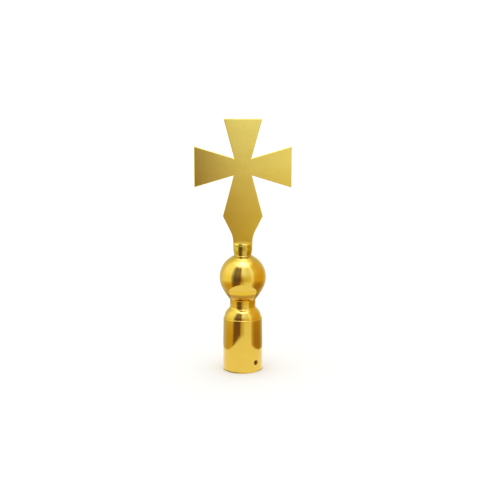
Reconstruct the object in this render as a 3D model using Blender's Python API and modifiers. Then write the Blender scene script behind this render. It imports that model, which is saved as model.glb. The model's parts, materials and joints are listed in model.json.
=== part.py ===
"""Processional cross: the brass head that crowns a church staff.

A flat cross stands in a turned collar on a hollow ball, and the ball on a neck ring and an ogee
shoulder. The open sleeve below takes the staff. One tie rod clamps collar, ball and neck to the
shoulder, and a set screw near the mouth grips the staff. The cross faces -Y, and the origin is at
the middle of the sleeve's rim, on which the head stands.
"""

import math

import bmesh
import bpy

MM = 0.001
GAP = 0.3 * MM  # clearance between pieces that touch
SIDES = 40  # facets around a large turned piece
SMALL_SIDES = 24  # facets around fasteners and their holes
MERGE = 0.01 * MM

# Staff socket
SOCKET_BORE = 17.5 * MM  # radius for a 35 mm staff
MOUTH_RADIUS = 20.3 * MM
MOUTH_ROUND = 0.5 * MM
MOUTH_LEAD_IN = 0.4 * MM
SLEEVE_TOP = 53.5 * MM
SLEEVE_TOP_RADIUS = 19.45 * MM
SLEEVE_TOP_ROUND = 1.1 * MM

# Ogee shoulder, whose spigot sits in the sleeve
SPIGOT_DEPTH = 6.0 * MM
SPIGOT_WALL = 1.9 * MM
SHOULDER_RADIUS = 18.6 * MM  # at its foot
SHOULDER_ARC = 13.0 * MM
SHOULDER_LEAN = 5  # of its foot, in degrees from upright
CROWN_LEAN = 45  # of the slope above, in to the neck
NECK_RADIUS = 12.85 * MM
NECK_FILLET = 3.0 * MM
NECK_JOINT = 68.0 * MM
NECK_WALL = 2.6 * MM
HOLLOW_STEP = 1.2 * MM  # how far the hollow narrows at its first turn
HOLLOW_TURNS = (1.0 * MM, 3.5 * MM, 8.0 * MM)  # heights above the sleeve where the hollow turns
WEB_THICKNESS = 3.0 * MM  # floor of the shoulder that the nut pulls against
PILOT_RADIUS = 8.7 * MM  # boss that centres the neck ring
PILOT_HEIGHT = 1.6 * MM

# Neck ring, which widens into a thin skirt under the ball
RING_FLARE = 98.0 * MM  # radius of the skirt's shallow curve
RING_LIP = 20.3 * MM  # radius of the skirt's edge

# Ball
BALL_RADIUS = 23.25 * MM
SKIRT_PROUD = 0.75 * MM  # how far the ring's and the collar's skirts stand off the ball's surface
BALL_CENTRE = 94.3 * MM
BALL_WALL = 1.2 * MM
LAP_RADIUS = 21.4 * MM  # outside of the lip where the halves overlap
LAP_WALL = 0.9 * MM
LAP_HEIGHT = 2.6 * MM

# Collar, and the mortise in its top for the cross
COLLAR_TOP = 128.8 * MM
COLLAR_RADIUS = 9.75 * MM
COLLAR_CHAMFER = 0.45 * MM
COLLAR_RIM = 2.4 * MM  # height of its straight rim
COLLAR_TAPER = 0.22 * MM
COLLAR_TAPER_FOOT = 7.0 * MM  # below the top
COLLAR_WAIST = 8.6 * MM
COLLAR_FILLET = 1.2 * MM
COLLAR_LIP = 10.6 * MM
TENON_WIDTH = 10.0 * MM
TENON_DEPTH = 3.6 * MM

# Cross
PLATE_THICKNESS = 4.0 * MM
PLATE_ROUND = 1.3 * MM
PLATE_TOP = 250.0 * MM
CROSS_CENTRE = 203.55 * MM
ARM_REACH = 47.6 * MM  # from the centre line to a side arm's end
ARM_END_HALF = 20.0 * MM
TOP_END_HALF = 18.9 * MM
CROTCH_RISE = 8.3 * MM  # inner corners, above and below the cross's centre
UPPER_CROTCH = 8.5 * MM  # inner corners beside the top arm, from the centre line
LOWER_CROTCH = 8.9 * MM
HIP_HEIGHT = 155.2 * MM  # widest place of the lower arm
HIP_HALF = 19.7 * MM
STEM_HALF = 9.65 * MM
STEM_ARC = 24.3 * MM
STEM_ARC_TURN = 25.7
STEM_ARC_START = 129.5 * MM

# Tie rod and its fasteners, M6
ROD_RADIUS = 3.0 * MM
ROD_HOLE = ROD_RADIUS + GAP
ROD_TOP = 123.2 * MM
ROD_BOTTOM = 54.0 * MM
ROD_CHAMFER = 0.5 * MM
WASHER_RADIUS = 6.0 * MM
WASHER_THICKNESS = 1.6 * MM
SPRING_WASHER_RADIUS = 5.6 * MM
SPRING_WASHER_SLOT = 0.8 * MM
NUT_ACROSS_FLATS = 10.0 * MM
NUT_HEIGHT = 5.0 * MM

# Set screw, M5, through the sleeve's wall, with a pad that swivels on its inner end
SCREW_AZIMUTH = math.radians(41)  # from the front (-Y) towards +X
SCREW_HEIGHT = 10.0 * MM
SCREW_RADIUS = 2.2 * MM
SCREW_HOLE = SCREW_RADIUS + GAP
SCREW_DRILL_DEPTH = 12.0 * MM
SCREW_OUTER_END = 19.5 * MM  # from the sleeve's axis
SCREW_LENGTH = 3.6 * MM
SCREW_CHAMFER = 0.35 * MM
KEY_ACROSS_FLATS = 2.5 * MM
KEY_DEPTH = 1.4 * MM
PAD_RADIUS = 1.9 * MM
PAD_THICKNESS = 0.9 * MM
PAD_CHAMFER = 0.3 * MM
PAD_STEM_RADIUS = 0.8 * MM
PAD_STEM_LENGTH = 1.2 * MM

BRUSHED_BRASS = ((0.75, 0.52, 0.13), 0.38, 1.0)
POLISHED_BRASS = ((0.85, 0.58, 0.12), 0.08, 1.0)
ZINC_STEEL = ((0.62, 0.63, 0.65), 0.32, 1.0)
BLACK_STEEL = ((0.05, 0.045, 0.04), 0.42, 1.0)
PAD_BRASS = ((0.70, 0.50, 0.17), 0.45, 1.0)


def clear_scene():
    for obj in list(bpy.data.objects):
        bpy.data.objects.remove(obj, do_unlink=True)


def new_collection(name):
    collection = bpy.data.collections.new(name)
    bpy.context.scene.collection.children.link(collection)
    return collection


def new_material(name, finish):
    colour, roughness, metallic = finish
    material = bpy.data.materials.new(name)
    material.use_nodes = True
    shader = material.node_tree.nodes["Principled BSDF"]
    shader.inputs["Base Color"].default_value = (*colour, 1.0)
    shader.inputs["Roughness"].default_value = roughness
    shader.inputs["Metallic"].default_value = metallic
    return material


def add_object(name, mesh, collection, material=None):
    obj = bpy.data.objects.new(name, mesh)
    collection.objects.link(obj)
    if material:
        mesh.materials.append(material)
    return obj


def arc(centre_r, centre_z, radius, start_deg, end_deg, steps):
    """Points along an arc in the (r, z) half plane, both ends included."""
    angles = [math.radians(start_deg + (end_deg - start_deg) * i / steps) for i in range(steps + 1)]
    return [(centre_r + radius * math.cos(a), centre_z + radius * math.sin(a)) for a in angles]


def turned(name, profile, collection, material=None, sides=SIDES, closed=True):
    """Solid of revolution about Z from (r, z) points that run down the outside first."""
    mesh = bpy.data.meshes.new(name)
    links = [(i, i + 1) for i in range(len(profile) - 1)]
    if closed:
        links.append((len(profile) - 1, 0))
    mesh.from_pydata([(r, 0.0, z) for r, z in profile], links, [])
    obj = add_object(name, mesh, collection, material)
    screw = obj.modifiers.new("Turn", "SCREW")
    screw.steps = screw.render_steps = sides
    screw.use_merge_vertices = True
    screw.merge_threshold = MERGE
    screw.use_smooth_shade = True
    return obj


def prism(name, radius, depth, sides, collection, material=None):
    """Prism centred on its own origin, along Z; radius reaches its corners."""
    shape = bmesh.new()
    bmesh.ops.create_cone(
        shape, cap_ends=True, segments=sides, radius1=radius, radius2=radius, depth=depth
    )
    mesh = bpy.data.meshes.new(name)
    shape.to_mesh(mesh)
    shape.free()
    return add_object(name, mesh, collection, material)


def box(name, size, collection):
    """Box centred on its own origin, with the size along X, Y and Z."""
    shape = bmesh.new()
    bmesh.ops.create_cube(shape, size=1.0)
    bmesh.ops.scale(shape, vec=size, verts=shape.verts)
    mesh = bpy.data.meshes.new(name)
    shape.to_mesh(mesh)
    shape.free()
    return add_object(name, mesh, collection)


def combine(obj, other, operation="DIFFERENCE"):
    """Cut obj by a cutter, or keep what the two share."""
    modifier = obj.modifiers.new(other.name, "BOOLEAN")
    modifier.operation = operation
    modifier.object = other
    modifier.solver = "EXACT"
    other.hide_render = True
    other.display_type = "WIRE"


def corner_radius(across_flats):
    return across_flats / 2 / math.cos(math.radians(30))


def sphere_arc(radius, r_from, r_to, half, steps):
    """Arc on a sphere about the ball's centre; half is 1 for the upper and -1 for the lower."""
    start = math.degrees(math.acos(r_from / radius)) * half
    end = math.degrees(math.acos(r_to / radius)) * half
    return arc(0.0, BALL_CENTRE, radius, start, end, steps)


def collar_skirt():
    """Outline that leaves the collar's waist by a fillet and runs on over the ball to the lip."""
    skin = BALL_RADIUS + SKIRT_PROUD
    fillet_r = COLLAR_WAIST + COLLAR_FILLET
    rise = math.sqrt((skin + COLLAR_FILLET) ** 2 - fillet_r**2)
    turn = math.degrees(math.atan2(rise, fillet_r))
    curve = arc(fillet_r, BALL_CENTRE + rise, COLLAR_FILLET, 180, 180 + turn, 5)
    return curve + sphere_arc(skin, curve[-1][0], COLLAR_LIP, 1, 2)[1:]


def ring_skirt():
    """Shallow curve that leaves the ball along its surface and ends at the neck."""
    skin = BALL_RADIUS + SKIRT_PROUD
    lean = math.acos(RING_LIP / skin)
    centre_r = RING_LIP - RING_FLARE * math.cos(lean)
    centre_z = BALL_CENTRE - (skin - RING_FLARE) * math.sin(lean)
    end = math.acos((NECK_RADIUS - centre_r) / RING_FLARE)
    return arc(centre_r, centre_z, RING_FLARE, -math.degrees(lean), -math.degrees(end), 4)


def cross_outline():
    """Right half of the cross and its tenon, from the tenon's foot up to the top, as (x, z)."""
    stem_foot = COLLAR_TOP + GAP
    stem = arc(STEM_HALF + STEM_ARC, STEM_ARC_START, STEM_ARC, 180, 180 - STEM_ARC_TURN, 5)
    return [
        (TENON_WIDTH / 2, COLLAR_TOP - TENON_DEPTH),
        (TENON_WIDTH / 2, stem_foot),
        (STEM_HALF, stem_foot),
        *stem,
        (HIP_HALF, HIP_HEIGHT),
        (LOWER_CROTCH, CROSS_CENTRE - CROTCH_RISE),
        (ARM_REACH, CROSS_CENTRE - ARM_END_HALF),
        (ARM_REACH, CROSS_CENTRE + ARM_END_HALF),
        (UPPER_CROTCH, CROSS_CENTRE + CROTCH_RISE),
        (TOP_END_HALF, PLATE_TOP),
    ]


def make_cross_plate(collection):
    """Flat cross pattee with a rounded rim and a tenon below."""
    half = cross_outline()
    outline = half + [(-x, z) for x, z in reversed(half)]
    shape = bmesh.new()
    front = [shape.verts.new((x, -PLATE_THICKNESS / 2, z)) for x, z in outline]
    face = shape.faces.new(front)
    extruded = bmesh.ops.extrude_face_region(shape, geom=[face])["geom"]
    back = [v for v in extruded if isinstance(v, bmesh.types.BMVert)]
    bmesh.ops.translate(shape, verts=back, vec=(0.0, PLATE_THICKNESS, 0.0))
    bmesh.ops.recalc_face_normals(shape, faces=shape.faces)
    stem_foot = COLLAR_TOP + GAP
    rim = [
        edge
        for edge in shape.edges
        if abs(edge.verts[0].co.y - edge.verts[1].co.y) < MERGE
        and max(v.co.z for v in edge.verts) > stem_foot + MERGE
    ]
    bmesh.ops.bevel(shape, geom=rim, offset=PLATE_ROUND, segments=3, profile=0.5, affect="EDGES")
    bmesh.ops.triangulate(shape, faces=[f for f in shape.faces if len(f.verts) > 4])
    mesh = bpy.data.meshes.new("cross_plate")
    shape.to_mesh(mesh)
    shape.free()
    mesh.shade_smooth()
    mesh.set_sharp_from_angle(angle=math.radians(35))
    return add_object("cross_plate", mesh, collection, new_material("brushed_brass", BRUSHED_BRASS))


def make_cross_collar(collection, cutters, material):
    """Turned collar that sits on the ball, threaded below and mortised above."""
    seat = sphere_arc(BALL_RADIUS + GAP, COLLAR_LIP, ROD_HOLE, 1, 4)
    bore_top = ROD_TOP + GAP
    profile = [
        (0.0, COLLAR_TOP),
        (COLLAR_RADIUS - COLLAR_CHAMFER, COLLAR_TOP),
        (COLLAR_RADIUS, COLLAR_TOP - COLLAR_CHAMFER),
        (COLLAR_RADIUS, COLLAR_TOP - COLLAR_RIM),
        (COLLAR_RADIUS - COLLAR_TAPER, COLLAR_TOP - COLLAR_TAPER_FOOT),
        *collar_skirt(),
        *seat,
        (ROD_HOLE, bore_top),
        (0.0, bore_top),
    ]
    collar = turned("cross_collar", profile, collection, material, closed=False)
    depth = TENON_DEPTH + GAP
    mortise = box(
        "collar_mortise",
        (TENON_WIDTH + 2 * GAP, PLATE_THICKNESS + 2 * GAP, 2 * depth),
        cutters,
    )
    mortise.location.z = COLLAR_TOP
    combine(collar, mortise)
    return collar


def make_ball_upper_shell(collection, material):
    outside = sphere_arc(BALL_RADIUS, ROD_HOLE, BALL_RADIUS, 1, 10)
    inside = sphere_arc(BALL_RADIUS - BALL_WALL, BALL_RADIUS - BALL_WALL, ROD_HOLE, 1, 8)
    seam = BALL_CENTRE + GAP / 2
    outside[-1] = (BALL_RADIUS, seam)
    inside[0] = (BALL_RADIUS - BALL_WALL, seam)
    return turned("ball_upper_shell", outside + inside, collection, material)


def make_ball_lower_shell(collection, material):
    """Lower half, with the lip that the upper half laps over."""
    seam = BALL_CENTRE - GAP / 2
    outside = sphere_arc(BALL_RADIUS, BALL_RADIUS, ROD_HOLE, -1, 10)
    outside[0] = (BALL_RADIUS, seam)
    inside = sphere_arc(BALL_RADIUS - BALL_WALL, ROD_HOLE, LAP_RADIUS - LAP_WALL, -1, 6)
    lip_top = BALL_CENTRE + LAP_HEIGHT
    lip = [(LAP_RADIUS - LAP_WALL, lip_top), (LAP_RADIUS, lip_top), (LAP_RADIUS, seam)]
    return turned("ball_lower_shell", outside + inside + lip, collection, material)


def make_neck_ring(collection, material):
    """Flared ring between the shoulder and the ball, dished to the ball's curve."""
    bore = PILOT_RADIUS + GAP
    foot = NECK_JOINT + GAP / 2
    seat = sphere_arc(BALL_RADIUS + GAP, bore, RING_LIP, -1, 6)
    profile = [*ring_skirt(), (NECK_RADIUS, foot), (bore, foot), *seat]
    return turned("neck_ring", profile, collection, material)


def make_socket_shoulder(collection, material):
    """Ogee shoulder: spigot below, web and pilot boss above, open inside for the nut."""
    foot = SLEEVE_TOP + GAP / 2
    head = NECK_JOINT - GAP / 2
    spigot = SOCKET_BORE - GAP
    inner = spigot - SPIGOT_WALL
    lean = math.radians(SHOULDER_LEAN)
    crown = arc(
        SHOULDER_RADIUS - SHOULDER_ARC * math.cos(lean),
        foot - SHOULDER_ARC * math.sin(lean),
        SHOULDER_ARC,
        CROWN_LEAN,
        SHOULDER_LEAN,
        7,
    )
    diagonal = math.sqrt(0.5) * NECK_FILLET
    fillet_r = NECK_RADIUS + NECK_FILLET
    slope_sum = crown[0][0] + crown[0][1]  # r + z along the 45 degree slope
    fillet_z = slope_sum - (fillet_r - diagonal) + diagonal
    fillet = arc(fillet_r, fillet_z, NECK_FILLET, 180, 225, 3)
    web = head - WEB_THICKNESS
    neck_bore = NECK_RADIUS - NECK_WALL
    first_turn, second_turn, last_turn = (SLEEVE_TOP + height for height in HOLLOW_TURNS)
    profile = [
        (PILOT_RADIUS, head + PILOT_HEIGHT),
        (PILOT_RADIUS, head),
        (NECK_RADIUS, head),
        *fillet,
        *crown,
        (spigot, foot),
        (spigot, foot - SPIGOT_DEPTH),
        (inner, foot - SPIGOT_DEPTH),
        (inner, first_turn),
        (inner - HOLLOW_STEP, second_turn),
        (neck_bore, last_turn),
        (neck_bore, web),
        (ROD_HOLE, web),
        (ROD_HOLE, head + PILOT_HEIGHT),
    ]
    return turned("socket_shoulder", profile, collection, material)


def make_socket_sleeve(collection, cutters, material):
    """Slightly flared sleeve, open below, with the set screw's hole in its wall."""
    top = SLEEVE_TOP - GAP / 2
    top_round = arc(
        SLEEVE_TOP_RADIUS - SLEEVE_TOP_ROUND, top - SLEEVE_TOP_ROUND, SLEEVE_TOP_ROUND, 90, 0, 3
    )
    mouth_round = arc(MOUTH_RADIUS - MOUTH_ROUND, MOUTH_ROUND, MOUTH_ROUND, 0, -90, 3)
    profile = [
        (SOCKET_BORE, top),
        *top_round,
        *mouth_round,
        (SOCKET_BORE + MOUTH_LEAD_IN, 0.0),
        (SOCKET_BORE, MOUTH_LEAD_IN),
    ]
    sleeve = turned("socket_sleeve", profile, collection, material)
    drill = prism("set_screw_hole", SCREW_HOLE, SCREW_DRILL_DEPTH, SMALL_SIDES, cutters)
    place_on_screw_axis(drill, MOUTH_RADIUS)
    combine(sleeve, drill)
    return sleeve


def place_on_screw_axis(obj, distance):
    """Put an object's origin on the set screw's axis, with its local +Z pointing inwards."""
    obj.location = (
        distance * math.sin(SCREW_AZIMUTH),
        -distance * math.cos(SCREW_AZIMUTH),
        SCREW_HEIGHT,
    )
    obj.rotation_euler = (math.radians(-90), 0.0, SCREW_AZIMUTH)


def make_tie_rod(collection, material):
    profile = [
        (0.0, ROD_TOP),
        (ROD_RADIUS - ROD_CHAMFER, ROD_TOP),
        (ROD_RADIUS, ROD_TOP - ROD_CHAMFER),
        (ROD_RADIUS, ROD_BOTTOM + ROD_CHAMFER),
        (ROD_RADIUS - ROD_CHAMFER, ROD_BOTTOM),
        (0.0, ROD_BOTTOM),
    ]
    return turned("tie_rod", profile, collection, material, SMALL_SIDES, closed=False)


def washer_profile(outer, top, thickness):
    return [(ROD_HOLE, top), (outer, top), (outer, top - thickness), (ROD_HOLE, top - thickness)]


def make_fasteners(collection, cutters, material):
    """Plain washer, split spring washer and nut, stacked under the shoulder's web."""
    top = NECK_JOINT - GAP / 2 - WEB_THICKNESS - GAP
    turned(
        "plain_washer",
        washer_profile(WASHER_RADIUS, top, WASHER_THICKNESS),
        collection,
        material,
        SMALL_SIDES,
    )
    top -= WASHER_THICKNESS + GAP
    split_ring = turned(
        "spring_washer",
        washer_profile(SPRING_WASHER_RADIUS, top, WASHER_THICKNESS),
        collection,
        material,
        SMALL_SIDES,
    )
    slot = box("spring_washer_slot", (WASHER_RADIUS, SPRING_WASHER_SLOT, 4 * WASHER_THICKNESS), cutters)
    slot.location = (ROD_RADIUS + WASHER_RADIUS / 2, 0.0, top - WASHER_THICKNESS / 2)
    slot.rotation_euler.x = math.radians(30)
    combine(split_ring, slot)

    top -= WASHER_THICKNESS + GAP
    corner = corner_radius(NUT_ACROSS_FLATS)
    nut = prism("tie_nut", corner, NUT_HEIGHT, 6, collection, material)
    nut.location.z = top - NUT_HEIGHT / 2
    face = NUT_ACROSS_FLATS / 2
    bevel = (corner - face) * math.tan(math.radians(30))
    blank = turned(
        "tie_nut_chamfer",
        [
            (ROD_HOLE, top + GAP),
            (face, top + GAP),
            (face, top),
            (corner, top - bevel),
            (corner, top - NUT_HEIGHT + bevel),
            (face, top - NUT_HEIGHT),
            (face, top - NUT_HEIGHT - GAP),
            (ROD_HOLE, top - NUT_HEIGHT - GAP),
        ],
        cutters,
        sides=SMALL_SIDES,
    )
    combine(nut, blank, "INTERSECT")


def make_set_screw(collection, cutters):
    """Headless screw: hex socket at its outer end (local z = 0), bore for the pad at the other."""
    root = SCREW_RADIUS - SCREW_CHAMFER
    stem_bore = PAD_STEM_RADIUS + GAP
    bore_end = SCREW_LENGTH - PAD_STEM_LENGTH - GAP
    profile = [
        (0.0, bore_end),
        (stem_bore, bore_end),
        (stem_bore, SCREW_LENGTH),
        (root, SCREW_LENGTH),
        (SCREW_RADIUS, SCREW_LENGTH - SCREW_CHAMFER),
        (SCREW_RADIUS, SCREW_CHAMFER),
        (root, 0.0),
        (0.0, 0.0),
    ]
    material = new_material("black_steel", BLACK_STEEL)
    screw = turned("set_screw", profile, collection, material, SMALL_SIDES, closed=False)
    place_on_screw_axis(screw, SCREW_OUTER_END)
    key = prism("set_screw_key", corner_radius(KEY_ACROSS_FLATS), 2 * KEY_DEPTH, 6, cutters)
    place_on_screw_axis(key, SCREW_OUTER_END)
    combine(screw, key)


def make_set_screw_pad(collection):
    """Swivelling pad, with its stem in the screw's bore (local z = 0 at the screw's inner end)."""
    back = GAP
    profile = [
        (0.0, back + PAD_THICKNESS),
        (PAD_RADIUS - PAD_CHAMFER, back + PAD_THICKNESS),
        (PAD_RADIUS, back + PAD_THICKNESS - PAD_CHAMFER),
        (PAD_RADIUS, back),
        (PAD_STEM_RADIUS, back),
        (PAD_STEM_RADIUS, -PAD_STEM_LENGTH),
        (0.0, -PAD_STEM_LENGTH),
    ]
    material = new_material("pad_brass", PAD_BRASS)
    pad = turned("set_screw_pad", profile, collection, material, SMALL_SIDES, closed=False)
    place_on_screw_axis(pad, SCREW_OUTER_END - SCREW_LENGTH)


def main():
    clear_scene()
    parts = new_collection("processional_cross")
    cutters = new_collection("cutters")
    polished = new_material("polished_brass", POLISHED_BRASS)
    steel = new_material("zinc_steel", ZINC_STEEL)
    make_cross_plate(parts)
    make_cross_collar(parts, cutters, polished)
    make_ball_upper_shell(parts, polished)
    make_ball_lower_shell(parts, polished)
    make_neck_ring(parts, polished)
    make_socket_shoulder(parts, polished)
    make_socket_sleeve(parts, cutters, polished)
    make_tie_rod(parts, steel)
    make_fasteners(parts, cutters, steel)
    make_set_screw(parts, cutters)
    make_set_screw_pad(parts)


main()
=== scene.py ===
"""Looks of the processional cross head: turned brass, a satin cross, the studio and the camera.

Metres throughout, in the CAD frame: the staff's axis is Z, the cross faces -Y, and the head stands
on its rim at Z = 0. An azimuth is measured from the front (-Y) towards +X.
"""

import json
import math

import bmesh
import bpy
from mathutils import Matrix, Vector

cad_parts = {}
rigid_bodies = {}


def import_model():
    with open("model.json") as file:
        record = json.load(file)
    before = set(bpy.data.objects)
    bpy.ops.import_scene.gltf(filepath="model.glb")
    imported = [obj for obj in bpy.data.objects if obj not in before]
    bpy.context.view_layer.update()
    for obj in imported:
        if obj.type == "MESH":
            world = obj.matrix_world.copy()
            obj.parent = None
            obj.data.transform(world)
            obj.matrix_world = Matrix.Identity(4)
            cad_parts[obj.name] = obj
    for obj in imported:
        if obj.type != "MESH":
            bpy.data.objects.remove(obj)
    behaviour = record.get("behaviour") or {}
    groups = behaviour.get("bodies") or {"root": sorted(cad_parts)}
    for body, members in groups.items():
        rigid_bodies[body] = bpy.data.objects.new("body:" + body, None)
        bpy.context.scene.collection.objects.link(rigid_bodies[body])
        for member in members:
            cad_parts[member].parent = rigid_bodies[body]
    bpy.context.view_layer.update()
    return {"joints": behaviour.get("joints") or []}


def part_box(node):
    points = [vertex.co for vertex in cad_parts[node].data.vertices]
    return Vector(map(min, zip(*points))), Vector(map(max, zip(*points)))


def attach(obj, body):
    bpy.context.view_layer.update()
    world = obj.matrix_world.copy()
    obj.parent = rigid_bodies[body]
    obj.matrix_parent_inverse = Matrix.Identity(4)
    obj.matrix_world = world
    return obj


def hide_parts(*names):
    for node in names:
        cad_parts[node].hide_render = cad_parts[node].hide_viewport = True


for startup_object in list(bpy.data.objects):
    bpy.data.objects.remove(startup_object, do_unlink=True)

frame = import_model()

MM = 0.001
SIDES = 160  # facets around a large turned piece
FINE_SIDES = 64  # facets around a fastener
POLE = 1e-6  # a profile point this close to the axis is a single vertex
HAIRLINE = 0.02 * MM  # gap where polished pieces meet
CAD_GAP = 0.3 * MM  # gap between neighbouring CAD nodes


# ---------------------------------------------------------------- sizes, read from the frame


def low(node):
    return Vector(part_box(node)[0])


def high(node):
    return Vector(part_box(node)[1])


def middle(value, other):
    return (value + other) / 2


JOINTS = {joint["name"]: joint for joint in frame["joints"]}
SCREW_AXIS = Vector(JOINTS["set_screw_turn"]["axis"])  # points inwards
SCREW_FACE = Vector(JOINTS["set_screw_turn"]["pos_m"])  # middle of the screw's outer face

MOUTH_RADIUS = high("socket_sleeve").x
SLEEVE_TOP = high("socket_sleeve").z + CAD_GAP / 2
SLEEVE_TOP_RADIUS = 19.45 * MM
SLEEVE_TOP_ROUND = 1.1 * MM
BORE = 17.5 * MM
BALL_RADIUS = high("ball_upper_shell").x
BALL_CENTRE = low("ball_upper_shell").z - CAD_GAP / 2
NECK_JOINT = low("neck_ring").z - CAD_GAP / 2
NECK_RADIUS = 12.85 * MM
COLLAR_TOP = high("cross_collar").z
COLLAR_RADIUS = 9.75 * MM
PLATE_TOP = high("cross_plate").z
PLATE_THICKNESS = high("cross_plate").y * 2
ROD_TOP = high("tie_rod").z
ROD_BOTTOM = low("tie_rod").z
ROD_RADIUS = high("tie_rod").x
ROD_PLAY = 0.1 * MM
ROD_HOLE = ROD_RADIUS + ROD_PLAY


# ---------------------------------------------------------------- outlines and meshes


def arc(centre_r, centre_z, radius, start_deg, end_deg, steps):
    """Points along an arc in the (r, z) half plane, both ends included."""
    angles = [math.radians(start_deg + (end_deg - start_deg) * i / steps) for i in range(steps + 1)]
    return [(centre_r + radius * math.cos(a), centre_z + radius * math.sin(a)) for a in angles]


def ball_arc(radius, r_from, r_to, half, steps):
    """Arc on a sphere about the ball's centre; half is 1 for the upper and -1 for the lower."""
    start = math.degrees(math.acos(min(1.0, r_from / radius))) * half
    end = math.degrees(math.acos(min(1.0, r_to / radius))) * half
    return arc(0.0, BALL_CENTRE, radius, start, end, steps)


def soften(points, fillet, steps=5):
    """One corner of a profile, given with its two neighbours, rounded by a fillet."""
    before, corner, after = (Vector(p) for p in points)
    to_before = (before - corner).normalized()
    to_after = (after - corner).normalized()
    half = to_before.angle(to_after) / 2
    centre = corner + (to_before + to_after).normalized() * (fillet / math.sin(half))
    start = corner + to_before * (fillet / math.tan(half)) - centre
    end = corner + to_after * (fillet / math.tan(half)) - centre
    start_angle = math.atan2(start.y, start.x)
    turn = (math.atan2(end.y, end.x) - start_angle + math.pi) % math.tau - math.pi
    start_deg, end_deg = math.degrees(start_angle), math.degrees(start_angle + turn)
    return arc(centre.x, centre.y, fillet, start_deg, end_deg, steps)


def rounded(corners):
    """Closed profile from (r, z, fillet) corners; a fillet of 0 keeps its corner."""
    points = []
    for i, (r, z, fillet) in enumerate(corners):
        if not fillet:
            points.append((r, z))
            continue
        before, after = corners[i - 1][:2], corners[(i + 1) % len(corners)][:2]
        points += soften((before, (r, z), after), fillet)
    return points


def plain(points):
    """The points of a curve as corners that keep their place."""
    return [(r, z, 0.0) for r, z in points]


def finish_mesh(name, shape, materials):
    mesh = bpy.data.meshes.new(name)
    shape.to_mesh(mesh)
    shape.free()
    for material in materials:
        mesh.materials.append(material)
    obj = bpy.data.objects.new(name, mesh)
    bpy.context.scene.collection.objects.link(obj)
    return obj


def lathe(name, profile, materials, sides=SIDES, bore=0.0):
    """Turned solid from (r, z) points that run down the outside, then back up the inside.

    Faces within the bore's radius take the second material.
    """
    shape = bmesh.new()
    angles = [math.tau * i / sides for i in range(sides)]
    rings = [
        [shape.verts.new((0.0, 0.0, z))]
        if r < POLE
        else [shape.verts.new((r * math.cos(a), r * math.sin(a), z)) for a in angles]
        for r, z in profile
    ]
    pairs = list(zip(rings, rings[1:]))
    if len(rings[0]) > 1 or len(rings[-1]) > 1:
        pairs.append((rings[-1], rings[0]))
    for upper, lower in pairs:
        for i in range(sides):
            j = (i + 1) % sides
            corners = (
                upper[i % len(upper)],
                lower[i % len(lower)],
                lower[j % len(lower)],
                upper[j % len(upper)],
            )
            distinct = list(dict.fromkeys(corners))
            if len(distinct) > 2:
                face = shape.faces.new(distinct)
                face.smooth = True
                centre = face.calc_center_median()
                face.material_index = int(math.hypot(centre.x, centre.y) < bore)
    return finish_mesh(name, shape, materials)


def prism(name, radius, bottom, top, sides, turn=0.0):
    """Prism along Z, for cutting or as a blank; radius reaches its corners."""
    shape = bmesh.new()
    angles = [turn + math.tau * i / sides for i in range(sides)]
    ends = [
        [shape.verts.new((radius * math.cos(a), radius * math.sin(a), z)) for a in angles]
        for z in (bottom, top)
    ]
    shape.faces.new(ends[0][::-1])
    shape.faces.new(ends[1])
    for i in range(sides):
        j = (i + 1) % sides
        shape.faces.new((ends[0][i], ends[0][j], ends[1][j], ends[1][i]))
    return finish_mesh(name, shape, [])


def combine(obj, other, operation="DIFFERENCE"):
    """Boolean whose result replaces obj's mesh; the other object is used up."""
    modifier = obj.modifiers.new(other.name, "BOOLEAN")
    modifier.operation = operation
    modifier.object = other
    bpy.context.view_layer.update()
    evaluated = obj.evaluated_get(bpy.context.evaluated_depsgraph_get())
    mesh = bpy.data.meshes.new_from_object(evaluated)
    obj.modifiers.clear()
    obj.data = mesh
    bpy.data.objects.remove(other, do_unlink=True)


def even_shading(obj, sharp_deg=50):
    """Large faces keep their own normals, so only the fillets between them curve."""
    obj.data.shade_smooth()
    obj.data.set_sharp_from_angle(angle=math.radians(sharp_deg))
    weighted = obj.modifiers.new("Even shading", "WEIGHTED_NORMAL")
    weighted.mode = "FACE_AREA"
    weighted.weight = 100
    weighted.keep_sharp = True


def place(obj, body, slot, *nodes):
    """The piece rides on a body and stands for CAD nodes; the slot argument is not used."""
    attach(obj, body)
    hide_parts(*nodes)


# ---------------------------------------------------------------- materials


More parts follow.
